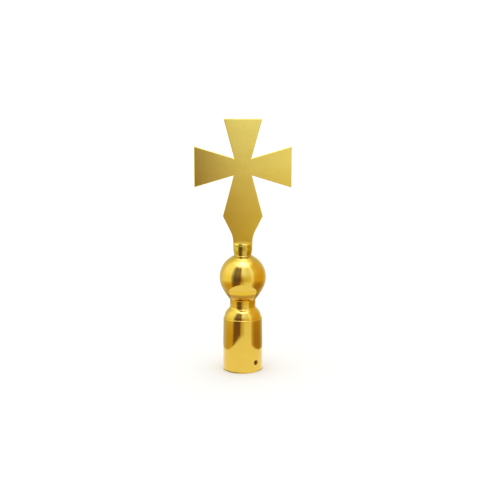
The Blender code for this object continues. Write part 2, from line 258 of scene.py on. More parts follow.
class Surface:
    """A Principled material being built, in the object's own coordinates (metres)."""

    def __init__(self, name, metallic=1.0, coat=0.0, coat_roughness=0.03):
        self.material = bpy.data.materials.new(name)
        self.material.use_nodes = True
        self.tree = self.material.node_tree
        self.shader = self.tree.nodes["Principled BSDF"]
        self.shader.inputs["Metallic"].default_value = metallic
        self.shader.inputs["Coat Weight"].default_value = coat
        self.shader.inputs["Coat Roughness"].default_value = coat_roughness
        self.place = self.tree.nodes.new("ShaderNodeTexCoord").outputs["Object"]
        self.normal = None

    def noise(self, stretch, detail=3.0, roughness=0.55):
        """Noise whose features are 1 / stretch metres across, along X, Y and Z."""
        mapping = self.tree.nodes.new("ShaderNodeMapping")
        mapping.inputs["Scale"].default_value = stretch
        texture = self.tree.nodes.new("ShaderNodeTexNoise")
        texture.inputs["Scale"].default_value = 1.0
        texture.inputs["Detail"].default_value = detail
        texture.inputs["Roughness"].default_value = roughness
        self.tree.links.new(self.place, mapping.inputs["Vector"])
        self.tree.links.new(mapping.outputs["Vector"], texture.inputs["Vector"])
        return texture.outputs["Fac"]

    def height(self, lowest, highest):
        """Height in the object, from 0 at the lowest to 1 at the highest."""
        split = self.tree.nodes.new("ShaderNodeSeparateXYZ")
        self.tree.links.new(self.place, split.inputs["Vector"])
        return self.span(split.outputs["Z"], 0.0, 1.0, lowest, highest)

    def colour(self, factor, *stops):
        """Base colour from (position, colour) stops along a factor."""
        ramp = self.tree.nodes.new("ShaderNodeValToRGB")
        elements = ramp.color_ramp.elements
        while len(elements) < len(stops):
            elements.new(0.5)
        for element, (position, colour) in zip(elements, stops):
            element.position = position
            element.color = (*colour, 1.0)
        self.tree.links.new(factor, ramp.inputs["Fac"])
        self.tree.links.new(ramp.outputs["Color"], self.shader.inputs["Base Color"])

    def span(self, factor, lowest, highest, start=0.35, end=0.65):
        """A factor's middle stretch spread over a range."""
        node = self.tree.nodes.new("ShaderNodeMapRange")
        for name, value in (
            ("From Min", start),
            ("From Max", end),
            ("To Min", lowest),
            ("To Max", highest),
        ):
            node.inputs[name].default_value = value
        self.tree.links.new(factor, node.inputs["Value"])
        return node.outputs["Result"]

    def roughness(self, factor, lowest, highest):
        self.tree.links.new(self.span(factor, lowest, highest), self.shader.inputs["Roughness"])

    def bump(self, factor, depth):
        """Relief of a depth in metres, on top of any relief already there."""
        node = self.tree.nodes.new("ShaderNodeBump")
        node.inputs["Strength"].default_value = 1.0
        node.inputs["Distance"].default_value = depth
        self.tree.links.new(factor, node.inputs["Height"])
        if self.normal:
            self.tree.links.new(self.normal, node.inputs["Normal"])
        self.normal = node.outputs["Normal"]
        self.tree.links.new(self.normal, self.shader.inputs["Normal"])


def polished_brass():
    surface = Surface("polished_brass", coat=1.0, coat_roughness=0.06)
    tone = surface.noise((45, 45, 45), detail=4)
    surface.colour(tone, (0.3, (0.78, 0.50, 0.042)), (0.7, (0.82, 0.54, 0.055)))
    surface.roughness(surface.noise((120, 120, 120)), 0.05, 0.10)
    surface.bump(surface.noise((60, 60, 90), detail=1), 0.012 * MM)
    surface.bump(surface.noise((300, 300, 9000), detail=2), 0.0004 * MM)
    return surface.material


# Height over which the neck ring's colour ramp runs; the ramp paints shade towards the crease under
# the ball.
CREASE_SHADE_HEIGHT = 12 * MM  # of the neck ring above its foot


def crease_shade_brass():
    """Polished brass with painted shade: a brown band darkens the neck ring towards the crease
    under the ball.
    """
    surface = Surface("crease_shade_brass")
    # Painted shade: the colour runs from the brass's own tone through orange to a dark brown band
    # and back, towards the crease under the ball.
    surface.colour(
        surface.height(NECK_JOINT, NECK_JOINT + CREASE_SHADE_HEIGHT),
        (0.0, (0.78, 0.50, 0.048)),
        (0.33, (0.72, 0.42, 0.04)),
        (0.58, (0.62, 0.35, 0.03)),
        (0.68, (0.47, 0.25, 0.03)),
        (0.84, (0.49, 0.27, 0.03)),
        (0.97, (0.80, 0.52, 0.048)),
    )
    surface.roughness(surface.noise((120, 120, 120)), 0.06, 0.12)
    surface.bump(surface.noise((60, 60, 90), detail=1), 0.012 * MM)
    return surface.material


def turned_brass():
    surface = Surface("turned_brass", coat=0.5, coat_roughness=0.12)
    surface.colour(
        surface.noise((60, 60, 60), detail=4), (0.3, (0.60, 0.42, 0.055)), (0.7, (0.68, 0.48, 0.07))
    )
    surface.roughness(surface.noise((200, 200, 2500)), 0.11, 0.18)
    surface.bump(surface.noise((60, 60, 7000), detail=2), 0.002 * MM)
    return surface.material


def satin_brass():
    surface = Surface("satin_brass", coat=0.6, coat_roughness=0.25)
    surface.colour(
        surface.noise((30, 30, 60), detail=4), (0.3, (0.82, 0.60, 0.085)), (0.7, (0.88, 0.66, 0.11))
    )
    surface.roughness(surface.noise((900, 900, 60)), 0.17, 0.23)
    surface.bump(surface.noise((9000, 9000, 260), detail=2), 0.003 * MM)
    surface.bump(surface.noise((40, 40, 40), detail=1), 0.03 * MM)
    return surface.material


def bore_brass():
    surface = Surface("bore_brass")
    surface.colour(
        surface.noise((200, 200, 60)), (0.3, (0.38, 0.24, 0.07)), (0.7, (0.55, 0.37, 0.12))
    )
    surface.roughness(surface.noise((80, 80, 2000)), 0.30, 0.48)
    surface.bump(surface.noise((20, 20, 3500), detail=1), 0.03 * MM)
    return surface.material


def zinc_steel():
    surface = Surface("zinc_steel")
    surface.colour(
        surface.noise((300, 300, 300)), (0.3, (0.50, 0.51, 0.52)), (0.7, (0.66, 0.67, 0.69))
    )
    surface.roughness(surface.noise((500, 500, 500)), 0.24, 0.40)
    surface.bump(surface.noise((2500, 2500, 2500)), 0.004 * MM)
    return surface.material


def black_steel():
    surface = Surface("black_steel", metallic=0.9)
    surface.colour(
        surface.noise((900, 900, 900)), (0.3, (0.26, 0.14, 0.03)), (0.7, (0.38, 0.21, 0.05))
    )
    surface.roughness(surface.noise((1200, 1200, 1200)), 0.34, 0.52)
    surface.bump(surface.noise((4000, 4000, 4000)), 0.004 * MM)
    return surface.material


def pad_brass():
    surface = Surface("pad_brass")
    surface.colour(
        surface.noise((600, 600, 600)), (0.3, (0.52, 0.36, 0.12)), (0.7, (0.68, 0.49, 0.18))
    )
    surface.roughness(surface.noise((900, 900, 900)), 0.30, 0.46)
    surface.bump(surface.noise((3000, 3000, 3000)), 0.005 * MM)
    return surface.material


POLISHED = polished_brass()
# Brass with painted shade in the crease under the ball.
CREASE_SHADE_BRASS = crease_shade_brass()
TURNED = turned_brass()
SATIN = satin_brass()
BORE_FINISH = bore_brass()
ZINC = zinc_steel()
BLACK = black_steel()
PAD = pad_brass()


# ---------------------------------------------------------------- cross

PLATE_ROUND = 0.7 * MM
TENON_HALF = 5.0 * MM
TENON_DEPTH = 3.6 * MM
CROSS_CENTRE = 203.55 * MM
ARM_REACH = high("cross_plate").x
ARM_END_HALF = 20.0 * MM
TOP_END_HALF = 18.9 * MM
CROTCH_RISE = 8.3 * MM  # inner corners, above and below the cross's centre
UPPER_CROTCH = 8.5 * MM  # inner corners beside the top arm, from the centre line
LOWER_CROTCH = 8.9 * MM
HIP_HEIGHT = 155.2 * MM
HIP_HALF = 19.7 * MM
STEM_HALF = 9.65 * MM
STEM_ARC = 24.3 * MM
STEM_ARC_TURN = 25.7
STEM_ARC_START = 129.5 * MM


def cross_outline():
    """Right half of the cross and its tenon, from the tenon's foot up to the top, as (x, z)."""
    stem_foot = COLLAR_TOP + HAIRLINE
    return [
        (TENON_HALF, COLLAR_TOP - TENON_DEPTH),
        (TENON_HALF, stem_foot),
        (STEM_HALF, stem_foot),
        *arc(STEM_HALF + STEM_ARC, STEM_ARC_START, STEM_ARC, 180, 180 - STEM_ARC_TURN, 24),
        (HIP_HALF, HIP_HEIGHT),
        (LOWER_CROTCH, CROSS_CENTRE - CROTCH_RISE),
        (ARM_REACH, CROSS_CENTRE - ARM_END_HALF),
        (ARM_REACH, CROSS_CENTRE + ARM_END_HALF),
        (UPPER_CROTCH, CROSS_CENTRE + CROTCH_RISE),
        (TOP_END_HALF, PLATE_TOP),
    ]


def make_cross():
    half = cross_outline()
    outline = half + [(-x, z) for x, z in reversed(half)]
    shape = bmesh.new()
    front = [shape.verts.new((x, -PLATE_THICKNESS / 2, z)) for x, z in outline]
    face = shape.faces.new(front)
    extruded = bmesh.ops.extrude_face_region(shape, geom=[face])["geom"]
    back = [v for v in extruded if isinstance(v, bmesh.types.BMVert)]
    bmesh.ops.translate(shape, verts=back, vec=(0.0, PLATE_THICKNESS, 0.0))
    bmesh.ops.recalc_face_normals(shape, faces=shape.faces)
    stem_foot = COLLAR_TOP + 2 * HAIRLINE
    rim = [
        edge
        for edge in shape.edges
        if abs(edge.verts[0].co.y - edge.verts[1].co.y) < POLE
        and max(v.co.z for v in edge.verts) > stem_foot
    ]
    bmesh.ops.bevel(shape, geom=rim, offset=PLATE_ROUND, segments=8, profile=0.5, affect="EDGES")
    bmesh.ops.triangulate(shape, faces=[f for f in shape.faces if len(f.verts) > 4])
    cross = finish_mesh("cross", shape, [SATIN])
    even_shading(cross, 30)
    place(cross, "head", "brushed_brass", "cross_plate")


# ---------------------------------------------------------------- collar, ball and neck

SKIRT_PROUD = 0.06 * MM  # the skirts' feather edges lie close on the ball
COLLAR_BEVEL = (0.6 * MM, 1.2 * MM)  # its width and height
COLLAR_RIM = 2.2 * MM  # below the top, down to the step
SATIN_RIM = 1.9 * MM  # height of the satin part of the rim
COLLAR_STEP = 0.35 * MM
COLLAR_STEP_FOOT = 3.0 * MM  # below the top
COLLAR_TAPER = 0.22 * MM
COLLAR_TAPER_FOOT = 7.0 * MM  # below the top
COLLAR_WAIST = 8.6 * MM
COLLAR_FILLET = 1.2 * MM
COLLAR_LIP = 10.6 * MM
BALL_WALL = 1.2 * MM
LAP = 21.4 * MM  # outside of the lip where the halves overlap
LAP_WALL = 0.9 * MM
LAP_HEIGHT = 2.6 * MM
RING_FLARE = 98.0 * MM  # radius of the skirt's shallow curve
RING_LIP = 20.3 * MM
RING_FILLET = 1.2 * MM
PILOT = 8.7 * MM  # boss on the shoulder that centres the neck ring
PILOT_HEIGHT = 1.6 * MM
RING_BORE = PILOT + CAD_GAP


def collar_skirt():
    """Outline that leaves the collar's waist by a fillet and runs on over the ball to the lip."""
    skin = BALL_RADIUS + SKIRT_PROUD
    fillet_r = COLLAR_WAIST + COLLAR_FILLET
    rise = math.sqrt((skin + COLLAR_FILLET) ** 2 - fillet_r**2)
    turn = math.degrees(math.atan2(rise, fillet_r))
    curve = arc(fillet_r, BALL_CENTRE + rise, COLLAR_FILLET, 180, 180 + turn, 12)
    return curve + ball_arc(skin, curve[-1][0], COLLAR_LIP, 1, 8)[1:]


def ring_skirt():
    """Shallow curve that leaves the ball along its surface and ends at the neck in a fillet."""
    skin = BALL_RADIUS + SKIRT_PROUD
    lean = math.acos(RING_LIP / skin)
    centre_r = RING_LIP - RING_FLARE * math.cos(lean)
    centre_z = BALL_CENTRE - (skin - RING_FLARE) * math.sin(lean)
    end = math.acos((NECK_RADIUS - centre_r) / RING_FLARE)
    curve = arc(centre_r, centre_z, RING_FLARE, -math.degrees(lean), -math.degrees(end), 24)
    above_fillet = curve[:-3]
    wall_foot = (NECK_RADIUS, NECK_JOINT)
    return above_fillet + soften((above_fillet[-1], curve[-1], wall_foot), RING_FILLET, 10)


def make_collar():
    """Collar turned to a dull finish, with a satin rim."""
    bore_top = ROD_TOP + ROD_PLAY
    seat = ball_arc(BALL_RADIUS + HAIRLINE, COLLAR_LIP, ROD_HOLE, 1, 12)
    profile = rounded(
        [
            (0.0, COLLAR_TOP, 0.0),
            (COLLAR_RADIUS - COLLAR_BEVEL[0], COLLAR_TOP, 0.12 * MM),
            (COLLAR_RADIUS, COLLAR_TOP - COLLAR_BEVEL[1], 0.5 * MM),
            (COLLAR_RADIUS, COLLAR_TOP - COLLAR_RIM, 0.3 * MM),
            (COLLAR_RADIUS - COLLAR_STEP, COLLAR_TOP - COLLAR_STEP_FOOT, 0.4 * MM),
            (COLLAR_RADIUS - COLLAR_TAPER, COLLAR_TOP - COLLAR_TAPER_FOOT, 3.0 * MM),
            *plain(collar_skirt()),
            *plain(seat),
            (ROD_HOLE, bore_top, 0.0),
            (0.0, bore_top, 0.0),
        ]
    )
    collar = lathe("collar", profile, [TURNED, SATIN])
    for face in collar.data.polygons:
        face.material_index = int(face.center.z > COLLAR_TOP - SATIN_RIM)
    even_shading(collar)
    place(collar, "head", "polished_brass", "cross_collar")


def make_ball():
    inner = BALL_RADIUS - BALL_WALL
    upper = ball_arc(BALL_RADIUS, ROD_HOLE, BALL_RADIUS, 1, 60)
    upper[-1] = (BALL_RADIUS, BALL_CENTRE + HAIRLINE / 2)
    upper_inside = ball_arc(inner, inner, ROD_HOLE, 1, 30)
    upper_inside[0] = (inner, BALL_CENTRE + HAIRLINE / 2)
    top = lathe("ball_upper", upper + upper_inside, [POLISHED])
    even_shading(top)
    place(top, "head", "polished_brass", "ball_upper_shell")

    lower = ball_arc(BALL_RADIUS, BALL_RADIUS, ROD_HOLE, -1, 60)
    lower[0] = (BALL_RADIUS, BALL_CENTRE - HAIRLINE / 2)
    lower_inside = ball_arc(inner, ROD_HOLE, LAP - LAP_WALL, -1, 24)
    lip = [
        (LAP - LAP_WALL, BALL_CENTRE + LAP_HEIGHT),
        (LAP, BALL_CENTRE + LAP_HEIGHT),
        (LAP, BALL_CENTRE - HAIRLINE / 2),
    ]
    bottom = lathe("ball_lower", lower + lower_inside + lip, [POLISHED])
    even_shading(bottom)
    place(bottom, "head", "polished_brass", "ball_lower_shell")


def make_neck_ring():
    foot = NECK_JOINT + HAIRLINE
    seat = ball_arc(BALL_RADIUS + HAIRLINE, RING_BORE, RING_LIP, -1, 16)
    profile = rounded(
        [*plain(ring_skirt()), (NECK_RADIUS, foot, 0.12 * MM), (RING_BORE, foot, 0.0), *plain(seat)]
    )
    # The neck ring's brass carries painted shade towards the crease under the ball.
    ring = lathe("neck_ring_turned", profile, [CREASE_SHADE_BRASS])
    even_shading(ring)
    place(ring, "head", "polished_brass", "neck_ring")


# ---------------------------------------------------------------- shoulder and sleeve

SHOULDER_RADIUS = high("socket_shoulder").x
SHOULDER_ARC = 13.0 * MM
SHOULDER_LEAN = 5
CROWN_LEAN = 45
NECK_FILLET = 3.0 * MM
NECK_WALL = 2.6 * MM
HOLLOW_STEP = 1.2 * MM  # how far the hollow narrows at its first turn
HOLLOW_TURNS = (1.0 * MM, 3.5 * MM, 8.0 * MM)  # heights above the sleeve where the hollow turns
SPIGOT = 17.2 * MM
SPIGOT_WALL = 1.9 * MM
SPIGOT_FOOT = low("socket_shoulder").z
WEB = 3.0 * MM  # thickness of the floor that the nut pulls against


def make_shoulder():
    foot = SLEEVE_TOP + HAIRLINE
    top = NECK_JOINT - HAIRLINE
    lean = math.radians(SHOULDER_LEAN)
    crown = arc(
        SHOULDER_RADIUS - SHOULDER_ARC * math.cos(lean),
        foot - SHOULDER_ARC * math.sin(lean),
        SHOULDER_ARC,
        CROWN_LEAN,
        SHOULDER_LEAN,
        28,
    )
    diagonal = math.sqrt(0.5) * NECK_FILLET
    fillet_r = NECK_RADIUS + NECK_FILLET
    fillet_z = sum(crown[0]) - fillet_r + 2 * diagonal
    fillet = arc(fillet_r, fillet_z, NECK_FILLET, 180, 225, 14)
    inner = SPIGOT - SPIGOT_WALL
    neck_bore = NECK_RADIUS - NECK_WALL
    web = top - WEB
    pilot_top = top + PILOT_HEIGHT
    first, second, third = (SLEEVE_TOP + height for height in HOLLOW_TURNS)
    profile = rounded(
        [
            (PILOT, pilot_top, 0.2 * MM),
            (PILOT, top, 0.0),
            (NECK_RADIUS, top, 0.12 * MM),
            *plain(fillet),
            *plain(crown),
            (SPIGOT, foot, 0.0),
            (SPIGOT, SPIGOT_FOOT, 0.3 * MM),
            (inner, SPIGOT_FOOT, 0.3 * MM),
            (inner, first, 2.0 * MM),
            (inner - HOLLOW_STEP, second, 1.0 * MM),
            (neck_bore, third, 1.5 * MM),
            (neck_bore, web, 1.0 * MM),
            (ROD_HOLE, web, 0.2 * MM),
            (ROD_HOLE, pilot_top, 0.0),
        ]
    )
    shoulder = lathe("shoulder", profile, [POLISHED, BORE_FINISH])
    for face in shoulder.data.polygons:
        inside = face.normal.xy.dot(face.center.xy) <= 0
        face.material_index = int(inside and face.center.z < web + HAIRLINE)
    even_shading(shoulder)
    place(shoulder, "head", "polished_brass", "socket_shoulder")


MOUTH_CHAMFER = 0.4 * MM
DRILL = 2.5 * MM  # radius of the tapped hole
DRILL_REACH = 3.0 * MM  # inwards from the wall's outer face
CONE_FOOT = 0.35 * MM  # the cutter widens at 45 degrees outside the wall
CONE_TOP = 2.7 * MM


def make_sleeve():
    top = SLEEVE_TOP - HAIRLINE
    profile = rounded(
        [
            (BORE, top, 0.2 * MM),
            (SLEEVE_TOP_RADIUS, top, SLEEVE_TOP_ROUND),
            (MOUTH_RADIUS, 0.0, 0.55 * MM),
            (BORE + MOUTH_CHAMFER, 0.0, 0.15 * MM),
            (BORE, MOUTH_CHAMFER, 0.15 * MM),
        ]
    )
    sleeve = lathe("sleeve", profile, [POLISHED, BORE_FINISH], bore=BORE + 0.03 * MM)
    drill = lathe(
        "set_screw_drill",
        [
            (0.0, DRILL_REACH),
            (DRILL, DRILL_REACH),
            (DRILL, -CONE_FOOT),
            (DRILL + CONE_TOP - CONE_FOOT, -CONE_TOP),
            (0.0, -CONE_TOP),
        ],
        [],
        FINE_SIDES,
    )
    face_distance = math.hypot(SCREW_FACE.x, SCREW_FACE.y)
    wall_radius = MOUTH_RADIUS - (MOUTH_RADIUS - SLEEVE_TOP_RADIUS) * SCREW_FACE.z / SLEEVE_TOP
    drill.location = SCREW_FACE - SCREW_AXIS * (wall_radius - face_distance)
    drill.rotation_euler = SCREW_AXIS.to_track_quat("Z", "Y").to_euler()
    combine(sleeve, drill)
    even_shading(sleeve)
    place(sleeve, "head", "polished_brass", "socket_sleeve")


# ---------------------------------------------------------------- fasteners

ROWS_PER_TURN = 10  # of a thread's mesh
THREAD_DEPTH = 0.58  # of the pitch
GROOVE_SHARE = 0.88  # of the pitch; the rest is the flat crest


def thread(name, radius, pitch, bottom, top, chamfer, materials, sides=FINE_SIDES):
    """Rod along Z with a right-hand V thread and chamfered, closed ends."""
    depth = THREAD_DEPTH * pitch
    rows = round((top - bottom) / pitch * ROWS_PER_TURN)
    shape = bmesh.new()
    rings = []
    for row in range(rows + 1):
        z = top + (bottom - top) * row / rows
        end_limit = radius - chamfer + min(z - bottom, top - z)
        ring = []
        for i in range(sides):
            angle = math.tau * i / sides
            phase = (z / pitch - i / sides) % 1.0
            groove = max(0.0, 1.0 - abs(phase - 0.5) * 2 / GROOVE_SHARE)
            r = min(radius - depth * groove, end_limit)
            ring.append(shape.verts.new((r * math.cos(angle), r * math.sin(angle), z)))
        rings.append(ring)
    for upper, lower in zip(rings, rings[1:]):
        for i in range(sides):
            j = (i + 1) % sides
            shape.faces.new((upper[i], lower[i], lower[j], upper[j])).smooth = True
    shape.faces.new(rings[0])
    shape.faces.new(rings[-1][::-1])
    return finish_mesh(name, shape, materials)


ROD_PITCH = 1.0 * MM
ROD_CHAMFER = 0.6 * MM


def make_tie_rod():
    rod = thread(
        "tie_rod_threaded", ROD_RADIUS, ROD_PITCH, ROD_BOTTOM, ROD_TOP, ROD_CHAMFER, [ZINC]
    )
    even_shading(rod, 60)
    place(rod, "head", "zinc_steel", "tie_rod")


WASHER_SIDES = 96
SLOT_CORNER = 0.5 * MM  # the slanting cut in the spring washer
SLOT_STRETCH = 8.0
SLOT_REACH = 6.0 * MM
SLOT_PLACE = 4.4 * MM
SLOT_LEAN = 30


def washer(name, node, fillet):
    bottom, top = low(node), high(node)
    return lathe(
        name,
        rounded(
            [
                (ROD_HOLE, top.z, fillet),
                (top.x, top.z, fillet),
                (top.x, bottom.z, fillet),
                (ROD_HOLE, bottom.z, fillet),
            ]
        ),
        [ZINC],
        WASHER_SIDES,
    )


def make_washers():
    flat = washer("plain_washer_turned", "plain_washer", 0.15 * MM)
    even_shading(flat)
    place(flat, "head", "zinc_steel", "plain_washer")

    split = washer("spring_washer_split", "spring_washer", 0.1 * MM)
    slot = prism("slot", SLOT_CORNER, -SLOT_REACH, SLOT_REACH, 4, math.radians(45))
    slot.location = (SLOT_PLACE, 0.0, middle(low("spring_washer").z, high("spring_washer").z))
    slot.scale = (SLOT_STRETCH, 1.0, 1.0)
    slot.rotation_euler.x = math.radians(SLOT_LEAN)
    combine(split, slot)
    even_shading(split)
    place(split, "head", "zinc_steel", "spring_washer")


NUT_PLAY = 0.02 * MM
NUT_CHAMFER = 0.4 * MM
NUT_FACE = 0.97  # radius of the nut's round face, as a share of the distance to a flat
NUT_BLANK = 0.1 * MM  # how far the turned blank stands outside the corners
NUT_SIDES = 96


def make_nut():
    bottom, top = low("tie_nut").z, high("tie_nut").z
    corner = high("tie_nut").y
    flat = corner * math.cos(math.radians(30))
    rise = (corner - flat) * math.tan(math.radians(30))
    nut = lathe(
        "tie_nut_hex",
        rounded(
            [
                (ROD_RADIUS + NUT_PLAY, top - NUT_CHAMFER, 0.0),
                (ROD_RADIUS + NUT_CHAMFER, top, 0.05 * MM),
                (flat * NUT_FACE, top, 0.1 * MM),
                (corner + NUT_BLANK, top - rise, 0.0),
                (corner + NUT_BLANK, bottom + rise, 0.0),
                (flat * NUT_FACE, bottom, 0.1 * MM),
                (ROD_RADIUS + NUT_CHAMFER, bottom, 0.05 * MM),
                (ROD_RADIUS + NUT_PLAY, bottom + NUT_CHAMFER, 0.0),
            ]
        ),
        [ZINC],
        NUT_SIDES,
    )
    hexagon = prism("hexagon", corner, bottom - MM, top + MM, 6, math.radians(90))
    combine(nut, hexagon, "INTERSECT")
    even_shading(nut, 25)
    place(nut, "head", "zinc_steel", "tie_nut")


SCREW_RADIUS = 2.42 * MM
SCREW_PITCH = 0.8 * MM
SCREW_CHAMFER = 0.5 * MM
SCREW_LENGTH = 3.6 * MM
KEY_CORNER = 1.443 * MM
KEY_DEPTH = 1.4 * MM
KEY_LEAD_IN = 1.7 * MM  # radius of the 45 degree lead-in at the screw's outer face
LEAD_IN_DEPTH = 0.5 * MM
LEAD_IN_REACH = 0.3 * MM
PAD_BORE = 1.0 * MM
PAD_BORE_DEPTH = 1.5 * MM
PAD_BORE_SIDES = 48
PAD_RADIUS = 1.9 * MM
PAD_GAP = 0.15 * MM
PAD_THICKNESS = 1.2 * MM
STEM_RADIUS = 0.8 * MM
STEM_LENGTH = 1.2 * MM


def on_screw_axis(obj, depth=0.0):
    """Local +Z points inwards along the set screw, from its outer face."""
    obj.location = SCREW_FACE + SCREW_AXIS * depth
    obj.rotation_euler = SCREW_AXIS.to_track_quat("Z", "Y").to_euler()


def make_set_screw():
    screw = thread(
        "set_screw_threaded", SCREW_RADIUS, SCREW_PITCH, 0.0, SCREW_LENGTH, SCREW_CHAMFER, [BLACK]
    )
    combine(screw, prism("key", KEY_CORNER, -MM, KEY_DEPTH, 6))
    combine(
        screw,
        lathe(
            "key_lead_in",
            [
                (0.0, LEAD_IN_DEPTH),
                (KEY_LEAD_IN - LEAD_IN_DEPTH, LEAD_IN_DEPTH),
                (KEY_LEAD_IN + LEAD_IN_REACH, -LEAD_IN_REACH),
                (0.0, -LEAD_IN_REACH),
            ],
            [],
            FINE_SIDES,
        ),
    )
    bore_end = SCREW_LENGTH - PAD_BORE_DEPTH
    combine(screw, prism("pad_bore", PAD_BORE, bore_end, SCREW_LENGTH + MM, PAD_BORE_SIDES))
    even_shading(screw, 40)
    on_screw_axis(screw)
    place(screw, "screw", "black_steel", "set_screw")

    pad = lathe(
        "set_screw_pad_turned",
        rounded(
            [
                (0.0, PAD_THICKNESS, 0.0),
                (PAD_RADIUS, PAD_THICKNESS, 0.3 * MM),
                (PAD_RADIUS, PAD_GAP, 0.1 * MM),
                (STEM_RADIUS, PAD_GAP, 0.0),
                (STEM_RADIUS, -STEM_LENGTH, 0.15 * MM),
                (0.0, -STEM_LENGTH, 0.0),
            ]
        ),
        [PAD],
        FINE_SIDES,
    )
    even_shading(pad)
    on_screw_axis(pad, SCREW_LENGTH)
    place(pad, "screw_pad", "pad_brass", "set_screw_pad")


# ---------------------------------------------------------------- studio


def floor_material():
    """Matt and pale from above, clear from below."""
    material = bpy.data.materials.new("pale_floor")
    material.use_nodes = True
    tree = material.node_tree
    shader = tree.nodes["Principled BSDF"]
    shader.inputs["Base Color"].default_value = (0.93, 0.93, 0.92, 1.0)
    shader.inputs["Roughness"].default_value = 0.85
    shader.inputs["Specular IOR Level"].default_value = 0.1
    clear = tree.nodes.new("ShaderNodeBsdfTransparent")
    side = tree.nodes.new("ShaderNodeNewGeometry")
    mix = tree.nodes.new("ShaderNodeMixShader")
    tree.links.new(side.outputs["Backfacing"], mix.inputs["Fac"])
    tree.links.new(shader.outputs["BSDF"], mix.inputs[1])
    tree.links.new(clear.outputs["BSDF"], mix.inputs[2])
    tree.links.new(mix.outputs["Shader"], tree.nodes["Material Output"].inputs["Surface"])
    return material


FLOOR_HALF_WIDTH = 6.0


def make_floor():
    shape = bmesh.new()
    bmesh.ops.create_grid(shape, x_segments=1, y_segments=1, size=FLOOR_HALF_WIDTH)
    floor = finish_mesh("floor", shape, [floor_material()])


class Glow:
    """Emission material whose colour depends on direction, seen only in reflections."""

    def __init__(self, name):
        self.material = bpy.data.materials.new(name)
        self.material.use_nodes = True
        self.tree = self.material.node_tree
        self.tree.nodes.remove(self.tree.nodes["Principled BSDF"])
        self.split = self.tree.nodes.new("ShaderNodeSeparateXYZ")
        place = self.tree.nodes.new("ShaderNodeTexCoord").outputs["Object"]
        self.tree.links.new(place, self.split.inputs["Vector"])
        across = self.split.outputs["X"]
        forwards = self.math("MULTIPLY", self.split.outputs["Y"], -1.0)
        self.azimuth = self.math("ARCTAN2", across, forwards)
        self.distance = self.math(
            "SQRT", self.math("ADD", self.square(across), self.square(forwards)), 0.0
        )

    def math(self, operation, first, second):
        node = self.tree.nodes.new("ShaderNodeMath")
        node.operation = operation
        for socket, value in zip(node.inputs, (first, second)):
            if isinstance(value, float):
                socket.default_value = value
            else:
                self.tree.links.new(value, socket)
        return node.outputs["Value"]

    def square(self, value):
        return self.math("MULTIPLY", value, value)

    def elevation(self, height):
        """Angle above the horizon, in radians, seen from a height on the axis."""
        rise = self.math("SUBTRACT", self.split.outputs["Z"], height)
        return self.math("ARCTAN2", rise, self.distance)

    def around(self, *stops):
        """Colour by azimuth, from (degrees, colour) stops between -180 and 180."""
        turn = self.tree.nodes.new("ShaderNodeMapRange")
        turn.inputs["From Min"].default_value = -math.pi
        turn.inputs["From Max"].default_value = math.pi
        self.tree.links.new(self.azimuth, turn.inputs["Value"])
        ramp = self.tree.nodes.new("ShaderNodeValToRGB")
        ramp.color_ramp.interpolation = "EASE"
        elements = ramp.color_ramp.elements
        while len(elements) < len(stops):
            elements.new(0.5)
        for element, (degrees, colour) in zip(elements, stops):
            element.position = (degrees + 180) / 360
            element.color = (*colour, 1.0)
        self.tree.links.new(turn.outputs["Result"], ramp.inputs["Fac"])
        return ramp.outputs["Color"]

    def blend(self, value, start, end, first, second):
        """The first colour up to a start value, the second one from an end value."""
        step = self.tree.nodes.new("ShaderNodeMapRange")
        step.interpolation_type = "SMOOTHSTEP"
        step.inputs["From Min"].default_value = start
        step.inputs["From Max"].default_value = end
        self.tree.links.new(value, step.inputs["Value"])
        mix = self.tree.nodes.new("ShaderNodeMix")
        mix.data_type = "RGBA"
        self.tree.links.new(step.outputs["Result"], mix.inputs["Factor"])
        self.tree.links.new(first, mix.inputs["A"])
        self.tree.links.new(second, mix.inputs["B"])
        return mix.outputs["Result"]

    def emit(self, colour):
        """Give off one plain colour, or the output of another node."""
        glow = self.tree.nodes.new("ShaderNodeEmission")
        if isinstance(colour, tuple):
            glow.inputs["Color"].default_value = (*colour, 1.0)
        else:
            self.tree.links.new(colour, glow.inputs["Color"])
        output = self.tree.nodes["Material Output"]
        self.tree.links.new(glow.outputs["Emission"], output.inputs["Surface"])
        return self.material


TENT_SIDES = 72


def tent_piece(name, rings, material):
    """Turned surface from (distance, height) rings that only reflections see."""
    shape = bmesh.new()
    angles = [math.tau * i / TENT_SIDES for i in range(TENT_SIDES)]
    rows = [
        [shape.verts.new((r * math.sin(a), -r * math.cos(a), z)) for a in angles] for r, z in rings
    ]
    for near, far in zip(rows, rows[1:]):
        for i in range(TENT_SIDES):
            j = (i + 1) % TENT_SIDES
            shape.faces.new((near[i], near[j], far[j], far[i]))
    piece = finish_mesh(name, shape, [material])
    piece.visible_camera = False
    piece.visible_diffuse = False
    piece.visible_transmission = False
    piece.visible_volume_scatter = False
    piece.visible_shadow = False
    return piece


TENT = 0.50  # radius of the studio that the brass mirrors
TENT_CENTRE = 0.10  # the height from which its elevations are measured
DOME_STEPS = 24
PINHOLE = 0.0005  # keeps the innermost ring of a tent piece open
GROUND = 0.0006
INNER_GROUND = (0.004, 0.15)
TABLE_HALF_WIDTH = 0.097
TABLE_HALF_DEPTH = 0.130
TABLE_OFFSET = 0.040  # the white table reaches further forwards than back

# Degrees of elevation and metres of distance over which one scene turns into the next.
LOW_TO_HIGH = (-6, 30)
HIGH_TO_SOFTBOX = (45, 74)
NEAR_TO_LOW = (0.14, 0.45)

